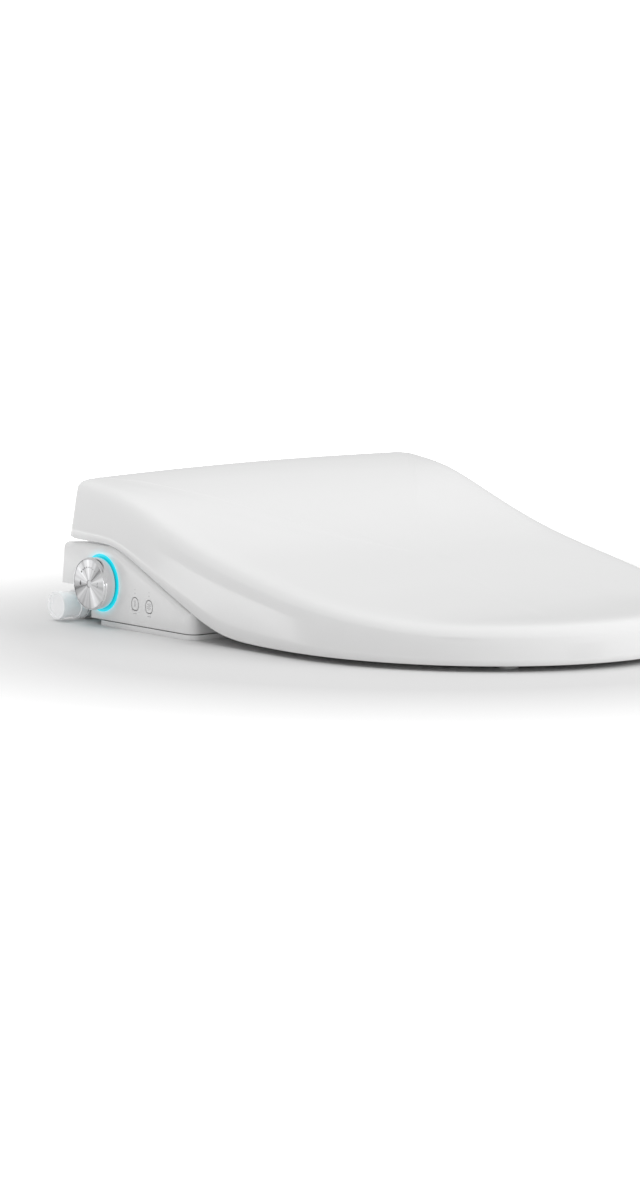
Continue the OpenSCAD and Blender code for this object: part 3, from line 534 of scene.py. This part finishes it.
@dataclass(frozen=True)
class Winding:
    """Enamelled wire wound about an upright axis."""

    name: str
    colour: tuple[float, float, float] = (0.55, 0.22, 0.08)

    def make(self) -> bpy.types.Material:
        """Builds the material."""
        r = Recipe(self.name)
        _, _, z = r.parts(r.place())
        turns = (z * 9000.0).sin() * 0.5 + 0.5
        r.surface(Base_Color=r.blend(turns, shade(self.colour, 0.5), shade(self.colour, 1.3)),
                  Roughness=turns * -0.1 + 0.38, Normal=r.bump(turns, 0.6, 0.0003))
        r.shader.inputs["Metallic"].default_value = 0.7
        return r.material


@dataclass(frozen=True)
class Ink:
    """Printed mark, a little uneven."""

    name: str
    colour: tuple[float, float, float] = (0.2, 0.2, 0.21)

    def make(self) -> bpy.types.Material:
        """Builds the material."""
        r = Recipe(self.name)
        patch = r.noise(r.place(), 900.0, 3.0, 0.7)
        r.surface(Base_Color=r.blend(patch, shade(self.colour, 0.8), shade(self.colour, 1.3)),
                  Roughness=patch * 0.2 + 0.35, Normal=r.bump(patch, 0.1, 0.0001))
        return r.material


KNOB_AT = (-0.18, 0.022, 0.0345)
WHITE = MouldedPlastic("gloss_white")
PANEL = PaintedGlowPanel("painted_glow_panel", KNOB_AT, 0.0233)
WHITE_LID = MouldedPlastic("lid_gloss", (0.8, 0.8, 0.8), 0.12, 0.02, 0.6)
SATIN = MouldedPlastic("satin_white", (0.78, 0.78, 0.78), 0.34, 0.09, 0.05)
GREY = GrainedPlastic("inner_grey", (0.36, 0.37, 0.38), 0.5)
BLACK = GrainedPlastic("inner_black", (0.025, 0.025, 0.028), 0.4)
MILK = MilkyPlastic("milky_cap", (0.95, 0.96, 0.97))
STEEL = BrushedMetal("brushed_steel")
STEEL_Y = BrushedMetal("drawn_steel", grain=Grain.ALONG_Y)
PLATED = BrushedMetal("plated_brass", (0.7, 0.62, 0.48), 0.25)
FOIL = BrushedMetal("foil", (0.78, 0.78, 0.79), 0.32, Grain.ALONG_Y)
SPUN = SpunMetal("spun_face", KNOB_AT)
CHROME = PolishedChrome("chrome_rim")
CYAN = LitPlastic("cyan_ring", KNOB_AT, 0.0225)
PAD = Elastomer("pad_rubber")
SEAL = Elastomer("seal_rubber", (0.03, 0.03, 0.03))
HOSE = Elastomer("hose_silicone", (0.75, 0.77, 0.78))
BOARD = CircuitBoard("solder_mask")
COPPER = Winding("copper_winding")
MARK = Ink("grey_ink", (0.1, 0.1, 0.105))
FAINT = Ink("pale_ink", (0.34, 0.34, 0.35))
INDICATOR = Ink("indicator", (0.5, 0.5, 0.5))


class Assembly:
    """Shared ways to refine CAD nodes and to add pieces that ride on a body."""

    _materials: dict[str, bpy.types.Material] = {}

    def finish(self, which: Any) -> bpy.types.Material:
        """The material of a finish, made once."""
        if which.name not in self._materials:
            self._materials[which.name] = which.make()
        return self._materials[which.name]

    def dress(self, which: Any, *nodes: str) -> None:
        """Gives CAD nodes a finish.

        Args:
            which: The finish.
            nodes: The nodes' names.
        """
        for name in nodes:
            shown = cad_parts[name]
            shown.data.materials.clear()
            shown.data.materials.append(self.finish(which))
            LOG.info("dressed %s with %s", name, which.name)

    def add(self, name: str, mesh: bmesh.types.BMesh, which: Any, body: str,
            slot: str, smooth: float = 40.0) -> bpy.types.Object:
        """Makes an object from a bmesh.

        Args:
            name: The piece's name.
            mesh: Its mesh, freed here.
            which: Its finish.
            body: The CAD body it rides on.
            slot: The record's material slot; not used.
            smooth: Edges sharper than this many degrees stay crisp.

        Returns:
            The new object.
        """
        bmesh.ops.recalc_face_normals(mesh, faces=mesh.faces)
        data = bpy.data.meshes.new(name)
        mesh.to_mesh(data)
        mesh.free()
        data.materials.append(self.finish(which))
        data.shade_smooth()
        data.set_sharp_from_angle(angle=math.radians(smooth))
        made = bpy.data.objects.new(name, data)
        bpy.context.scene.collection.objects.link(made)
        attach(made, body)
        LOG.info("built %s: %d faces", name, len(data.polygons))
        return made

    def merged(self, node: str) -> bmesh.types.BMesh:
        """A merged copy of a CAD node's mesh.

        Args:
            node: The node's name.

        Returns:
            The copy.
        """
        mesh = bmesh.new()
        mesh.from_mesh(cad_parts[node].data)
        bmesh.ops.remove_doubles(mesh, verts=mesh.verts, dist=2e-6)
        return mesh

    def softened(self, node: str, which: Any, body: str, slot: str, width: float = 0.5,
                 segments: int = 3) -> bpy.types.Object:
        """A copy of a CAD node with its edges rounded, shown in the node's place.

        Args:
            node: The node's name.
            which: The finish.
            body: The body it rides on.
            slot: The record's material slot.
            width: The rounding in millimetres.
            segments: Facets across the rounding.

        Returns:
            The new object.
        """
        mesh = self.merged(node)
        bmesh.ops.dissolve_limit(mesh, angle_limit=math.radians(1.0), verts=mesh.verts,
                                 edges=mesh.edges)
        made = self.add(f"{node}_fine", mesh, which, body, slot)
        bevel = made.modifiers.new("edges", "BEVEL")
        bevel.width = width * MM
        bevel.segments = segments
        bevel.limit_method = "ANGLE"
        bevel.angle_limit = math.radians(38)
        bevel.harden_normals = True
        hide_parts(node)
        return made


@dataclass
class Lid(Assembly):
    """The one-piece lid, its hinge lugs and bumpers.

    Edges that bend by more than rim_bend degrees are the rim, held at rim_hold. The ring of
    edges next to it is the line along the lid's side, held at fold.
    """

    levels: int = 2
    rim_bend: float = 50.0
    rim_hold: float = 0.85
    fold: float = 0.9

    def shell(self) -> bpy.types.Object:
        """The lid's skin, quads from the CAD rings, subdivided to a smooth gloss surface."""
        mesh = self.merged("lid_shell")
        bmesh.ops.join_triangles(mesh, faces=mesh.faces, angle_face_threshold=math.radians(50),
                                 angle_shape_threshold=math.radians(60))
        crease = mesh.edges.layers.float.new("crease_edge")
        bends = {edge: edge.calc_face_angle(0.0) for edge in mesh.edges
                 if len(edge.link_faces) == 2}
        sharp = math.radians(self.rim_bend)
        rim = {v for edge, bend in bends.items() if bend > sharp for v in edge.verts}
        first = {edge.other_vert(v) for v in rim for edge in v.link_edges} - rim
        for edge, bend in bends.items():
            if bend > sharp:
                edge[crease] = self.rim_hold
            elif all(v in first for v in edge.verts):
                edge[crease] = self.fold
        made = self.add("lid_skin", mesh, WHITE_LID, "lid", "plastic", 180.0)
        smooth = made.modifiers.new("smooth", "SUBSURF")
        smooth.levels = self.levels
        smooth.render_levels = self.levels
        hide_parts("lid_shell")
        return made

    def build(self) -> None:
        """Builds and dresses the lid."""
        self.shell()
        self.softened("lid_hinge_lugs", SATIN, "lid", "plastic_matte", 0.8)
        self.softened("lid_bumpers", PAD, "lid", "soft_pad", 1.2)


@dataclass
class Seat(Assembly):
    """The heated ring."""

    def ring(self) -> bpy.types.Object:
        """The ring's upper shell with a smooth skin."""
        mesh = self.merged("seat_top_shell")
        bmesh.ops.join_triangles(mesh, faces=mesh.faces, angle_face_threshold=math.radians(40),
                                 angle_shape_threshold=math.radians(60))
        made = self.add("seat_skin", mesh, WHITE, "seat", "plastic", 42.0)
        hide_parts("seat_top_shell")
        return made

    def build(self) -> None:
        """Builds and dresses the ring."""
        self.ring()
        self.softened("seat_bottom_shell", SATIN, "seat", "plastic", 0.5, 2)
        self.softened("seat_bumpers", PAD, "seat", "soft_pad", 1.2)
        self.dress(FOIL, "seat_heater")


@dataclass
class Housing(Assembly):
    """The cases, panels and the plate under them."""

    fine: tuple[str, ...] = ("control_panel", "left_panel", "front_fascia", "top_cover",
                             "dryer_flap")

    def build(self) -> None:
        """Builds and dresses the housing."""
        for node in self.fine:
            body = "air_flap" if node == "dryer_flap" else "unit"
            skin = PANEL if node == "control_panel" else WHITE
            self.softened(node, skin, body, "plastic", 0.5)
        self.softened("mounting_plate", WHITE, "mount", "plastic_matte", 0.8)
        self.softened("release_button", SATIN, "release", "plastic_matte", 0.7)
        self.softened("deodoriser_cartridge", SATIN, "cartridge", "plastic_matte", 0.5)
        self.dress(SATIN, "base_tray")
        self.dress(GREY, "bolt_clamp_plates")
        self.dress(STEEL, "case_screws")
        self.dress(BrushedMetal("bolt_steel", grain=Grain.ALONG_Z), "mounting_bolts")
        self.dress(BLACK, "sensor_window", "cable_gland", "damper_barrels")
        self.dress(STEEL, "hinge_shafts")


@dataclass
class ControlKnob(Assembly):
    """The knob with its light ring and printed marks."""

    centre: Vector = field(default_factory=lambda: Vector(KNOB_AT))
    scale_radius: float = 13.6
    scale_sweep: float = 96.0
    dots: int = 9
    dot_radius: float = 0.35
    dot_growth: float = 0.055
    drop_at: tuple[float, float] = (11.6, -0.9)
    drop_radii: tuple[float, ...] = (1.15, 0.85, 0.5)
    drop_step: float = 1.1
    wave_at: tuple[float, float] = (-11.2, -1.8)
    wave_step: tuple[float, float] = (0.5, 1.2)
    wave_radius: float = 0.42
    wave_spots: int = 4

    def _dot(self, mesh: bmesh.types.BMesh, y: float, z: float, radius: float,
             x: float, depth: float = 0.05) -> None:
        """Adds one round printed spot.

        Args:
            mesh: The bmesh it goes into.
            y: Its place across the face, in mm from the knob's axis.
            z: Its height from the axis, in mm.
            radius: Its radius in mm.
            x: The face's place in metres.
            depth: Its thickness in mm.
        """
        spot = Matrix.Translation((x, self.centre.y + y * MM, self.centre.z + z * MM)) \
            @ Matrix.Rotation(math.radians(90), 4, "Y")
        bmesh.ops.create_cone(mesh, cap_ends=True, segments=14, radius1=radius * MM,
                              radius2=radius * MM, depth=depth * MM, matrix=spot)

    def marks(self) -> None:
        """The dotted scale at the top, a drop at one side and a wave at the other."""
        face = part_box("knob_disc")[0].x
        mesh = bmesh.new()
        for i in range(self.dots):
            a = math.radians(self.scale_sweep * (i / (self.dots - 1) - 0.5))
            self._dot(mesh, self.scale_radius * math.sin(a), self.scale_radius * math.cos(a),
                      self.dot_radius + self.dot_growth * i, face)
        for k, radius in enumerate(self.drop_radii):
            self._dot(mesh, self.drop_at[0], self.drop_at[1] + k * self.drop_step, radius, face)
        for k in range(self.wave_spots):
            self._dot(mesh, self.wave_at[0] - self.wave_step[0] * (k % 2),
                      self.wave_at[1] + k * self.wave_step[1], self.wave_radius, face)
        self.add("knob_marks", mesh, MARK, "knob", "knob_face", 30)

    def build(self) -> None:
        """Builds and dresses the knob."""
        self.softened("knob_disc", SPUN, "knob", "knob_face", 0.25)
        self.dress(CHROME, "knob_bezel")
        self.dress(CHROME, "knob_skirt")
        self.dress(STEEL, "knob_shaft", "encoder_plunger")
        self.dress(CYAN, "light_ring")
        self.dress(BLACK, "rotary_encoder")
        self.marks()


@dataclass
class TouchIcons(Assembly):
    """Two flush touch keys printed on the panel: a seat outline and a drop with mist."""

    places: tuple[tuple[float, float], ...] = ((-23.7, 21.9), (-42.6, 21.4))
    width: float = 9.5
    height: float = 11.0
    line: float = 0.55

    def _bar(self, mesh: bmesh.types.BMesh, y: float, z: float, w: float, h: float,
             x: float) -> None:
        """Adds a thin printed bar.

        Args:
            mesh: The bmesh it goes into.
            y: Its centre along the panel, mm.
            z: Its centre's height, mm.
            w: Its width, mm.
            h: Its height, mm.
            x: The panel's face, metres.
        """
        where = Matrix.Translation((x, y * MM, z * MM)) @ Matrix.Diagonal(
            (0.06 * MM, w * MM, h * MM, 1.0))
        bmesh.ops.create_cube(mesh, size=1.0, matrix=where)

    def _loop(self, mesh: bmesh.types.BMesh, y: float, z: float, w: float, h: float,
              x: float) -> None:
        """Adds an outline shaped like a rounded arch.

        Args:
            mesh: The bmesh it goes into.
            y: Its centre along the panel, mm.
            z: Its centre's height, mm.
            w: Its width, mm.
            h: Its height, mm.
            x: The panel's face, metres.
        """
        made = bmesh.ops.create_circle(mesh, segments=40, radius=0.5, matrix=Matrix.Identity(4))
        for v in made["verts"]:
            a = math.atan2(v.co.y, v.co.x)
            e = 0.62 if math.sin(a) < 0 else 0.9
            cy = math.copysign(abs(math.cos(a)) ** e, math.cos(a))
            cz = math.copysign(abs(math.sin(a)) ** e, math.sin(a))
            v.co = (x, (y + cy * w / 2) * MM, (z + cz * h / 2) * MM)
        edges = list({e for v in made["verts"] for e in v.link_edges})
        out = bmesh.ops.extrude_edge_only(mesh, edges=edges)
        ring = [g for g in out["geom"] if isinstance(g, bmesh.types.BMVert)]
        for v in ring:
            v.co.y = y * MM + (v.co.y - y * MM) * (1 - 2 * self.line / w)
            v.co.z = z * MM + (v.co.z - z * MM) * (1 - 2 * self.line / h)
        faces = [g for g in out["geom"] if isinstance(g, bmesh.types.BMFace)]
        bmesh.ops.solidify(mesh, geom=faces, thickness=0.05 * MM)

    def build(self) -> None:
        """Builds the two keys and their indicator lamps."""
        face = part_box("control_panel")[0].x
        for k, (y, z) in enumerate(self.places):
            mesh = bmesh.new()
            self._loop(mesh, y, z, self.width, self.height, face)
            self._bar(mesh, y, z - 7.9, 4.6, 0.4, face)
            self.add(f"touch_key_{k + 1}", mesh, FAINT, "unit", "grey_plastic", 30)
            steam = bmesh.new()
            self._bar(steam, y, z + 0.3, 0.55, 5.2, face)
            if k:
                for i in (-1, 1):
                    for rise in (-1.3, 0.3, 1.9):
                        self._bar(steam, y + i * 1.9, z + rise, 0.5, 0.75, face)
            self.add(f"touch_steam_{k + 1}", steam, MARK, "unit", "grey_plastic", 30)
            lamp = bmesh.new()
            for i, rise in enumerate((8.6, 11.6)):
                spot = Matrix.Translation((face, y * MM, (z + rise) * MM)) \
                    @ Matrix.Rotation(math.radians(90), 4, "Y")
                bmesh.ops.create_cone(lamp, cap_ends=True, segments=14,
                                      radius1=(0.62 - 0.1 * i) * MM, radius2=(0.62 - 0.1 * i) * MM,
                                      depth=0.06 * MM, matrix=spot)
            self.add(f"touch_lamps_{k + 1}", lamp, INDICATOR, "unit", "grey_plastic", 30)


@dataclass
class WaterSide(Assembly):
    """Inlet, filter, valves, tank and hoses."""

    def build(self) -> None:
        """Dresses the water pieces."""
        self.softened("filter_cap", MILK, "filter_plug", "clear_cap", 0.8)
        self.dress(SATIN, "filter_chamber", "heater_lid")
        self.dress(SEAL, "filter_seal")
        self.dress(STEEL, "inlet_strainer", "valve_plunger")
        self.dress(PLATED, "inlet_fitting")
        self.dress(GREY, "solenoid_valve", "heater_tank", "diverter_valve")
        self.dress(COPPER, "valve_coil")
        self.dress(BLACK, "thermal_cutout")
        self.dress(STEEL, "diverter_motor")
        self.dress(HOSE, "water_hoses")


@dataclass
class Wands(Assembly):
    """The two washing nozzles and their drive."""

    def build(self) -> None:
        """Dresses the nozzles."""
        self.dress(WHITE, "rear_nozzle", "front_nozzle")
        self.dress(STEEL_Y, "rear_nozzle_tip", "front_nozzle_tip", "nozzle_motors")
        self.dress(SATIN, "rear_pinion", "front_pinion")
        self.dress(GREY, "nozzle_carriage")


@dataclass
class AirAndPower(Assembly):
    """Fan, dryer and the circuit boards."""

    def build(self) -> None:
        """Dresses the pieces."""
        self.dress(GREY, "fan_scroll", "dryer_duct")
        self.dress(BLACK, "fan_impeller", "power_module")
        self.dress(STEEL, "fan_motor")
        self.dress(FOIL, "dryer_heater")
        self.dress(BOARD, "main_board", "touch_board")


Point = tuple[float, float, float]


@dataclass(frozen=True)
class Lamp:
    """A soft area light: its place, the point it faces, its side in metres and its watts."""

    name: str
    at: Point
    aim: Point
    size: float
    power: float


@dataclass(frozen=True)
class Card:
    """A dark card for reflections: its place, the point it faces, its sides and its grey."""

    name: str
    at: Point
    aim: Point
    wide: float
    tall: float
    grey: float


@dataclass
class Studio:
    """Floor, lights and camera."""

    lamps: tuple[Lamp, ...] = (Lamp("key", (1.5, -2.3, 1.2), (0, -0.15, 0.05), 1.2, 31),
                               Lamp("top", (-0.1, 0.7, 2.4), (0, -0.1, 0.05), 1.6, 25),
                               Lamp("fill", (-1.5, -1.8, 0.5), (-0.1, -0.1, 0.03), 1.0, 4))
    cards: tuple[Card, ...] = (
        Card("side_card", (-2.2, -1.7, 1.5), (-0.18, 0, 0.05), 0.8, 0.9, 0.03),
        Card("low_card", (0.4, -2.6, 0.25), (-0.18, 0, 0.05), 0.9, 0.35, 0.05))

    eye: tuple[float, float, float] = (-3.58053, -4.61851, 0.77741)
    azimuth: float = -38.0
    elevation: float = 7.5
    lens: float = 214.41
    fade: tuple[float, float] = (0.32, 1.1)
    far_glow: float = 1.2

    def camera(self) -> None:
        """Places the camera."""
        data = bpy.data.cameras.new("camera")
        data.lens = self.lens
        data.sensor_width = 36.0
        data.clip_end = 60.0
        eye = bpy.data.objects.new("camera", data)
        a, e = math.radians(self.azimuth), math.radians(self.elevation)
        back = Vector((math.sin(a) * math.cos(e), -math.cos(a) * math.cos(e), math.sin(e)))
        eye.location = self.eye
        eye.rotation_euler = (-back).to_track_quat("-Z", "Y").to_euler()
        bpy.context.scene.collection.objects.link(eye)
        bpy.context.scene.camera = eye

    def floor(self) -> None:
        """The pale floor that stands for the rim's plane."""
        mesh = bmesh.new()
        bmesh.ops.create_grid(mesh, x_segments=2, y_segments=2, size=14.0)
        data = bpy.data.meshes.new("floor")
        mesh.to_mesh(data)
        mesh.free()
        r = Recipe("pale_floor")
        x, y, _ = r.parts(r.place((0, -0.18, 0)))
        away = (((x * x + y * y).root() - self.fade[0]) / (self.fade[1] - self.fade[0])).held()
        r.surface(Base_Color=r.blend(r.noise(r.place(), 3.0), (0.7, 0.7, 0.7),
                                     (0.72, 0.72, 0.72)),
                  Emission_Color=r.blend(away, (0.0, 0.0, 0.0), (1.0, 1.0, 1.0)), Roughness=0.6)
        r.shader.inputs["Emission Strength"].default_value = self.far_glow
        data.materials.append(r.material)
        made = bpy.data.objects.new("floor", data)
        bpy.context.scene.collection.objects.link(made)

    def light(self, lamp: Lamp) -> None:
        """Adds one soft area light.

        Args:
            lamp: The light.
        """
        data = bpy.data.lights.new(lamp.name, "AREA")
        data.size = lamp.size
        data.energy = lamp.power
        made = bpy.data.objects.new(lamp.name, data)
        made.location = lamp.at
        ahead = Vector(lamp.aim) - Vector(lamp.at)
        made.rotation_euler = ahead.to_track_quat("-Z", "Y").to_euler()
        made.visible_glossy = False
        bpy.context.scene.collection.objects.link(made)

    def sky(self, brightness: float = 0.62) -> None:
        """The even white surroundings."""
        world = bpy.data.worlds.new("studio")
        world.use_nodes = True
        world.node_tree.nodes["Background"].inputs[0].default_value = (1, 1, 1, 1)
        world.node_tree.nodes["Background"].inputs[1].default_value = brightness
        bpy.context.scene.world = world
        bpy.context.scene.view_settings.view_transform = "Standard"

    def hang(self, card: Card) -> None:
        """Adds a dark card, seen only in reflections.

        Args:
            card: The card.
        """
        ahead = Vector(card.aim) - Vector(card.at)
        turn = ahead.to_track_quat("Z", "Y").to_matrix().to_4x4()
        mesh = bmesh.new()
        bmesh.ops.create_grid(mesh, x_segments=1, y_segments=1, size=0.5,
                              matrix=Matrix.Translation(card.at) @ turn
                              @ Matrix.Diagonal((card.wide, card.tall, 1.0, 1.0)))
        data = bpy.data.meshes.new(card.name)
        mesh.to_mesh(data)
        mesh.free()
        r = Recipe(card.name)
        tone = (card.grey,) * 3
        r.surface(Base_Color=r.blend(r.noise(r.place(), 2.0), shade(tone, 0.9), tone),
                  Roughness=0.9)
        data.materials.append(r.material)
        made = bpy.data.objects.new(card.name, data)
        made.visible_camera = False
        made.visible_diffuse = False
        made.visible_shadow = False
        bpy.context.scene.collection.objects.link(made)

    def build(self) -> None:
        """Sets up the studio."""
        self.sky()
        self.floor()
        for lamp in self.lamps:
            self.light(lamp)
        for card in self.cards:
            self.hang(card)
        self.camera()


def main() -> None:
    """Builds every assembly in order."""
    for part in (Studio(), Housing(), ControlKnob(), TouchIcons(), WaterSide(), Wands(),
                 AirAndPower(), Seat(), Lid()):
        part.build()
        LOG.info("%s is ready", type(part).__name__)


if __name__ == "__main__":
    main()
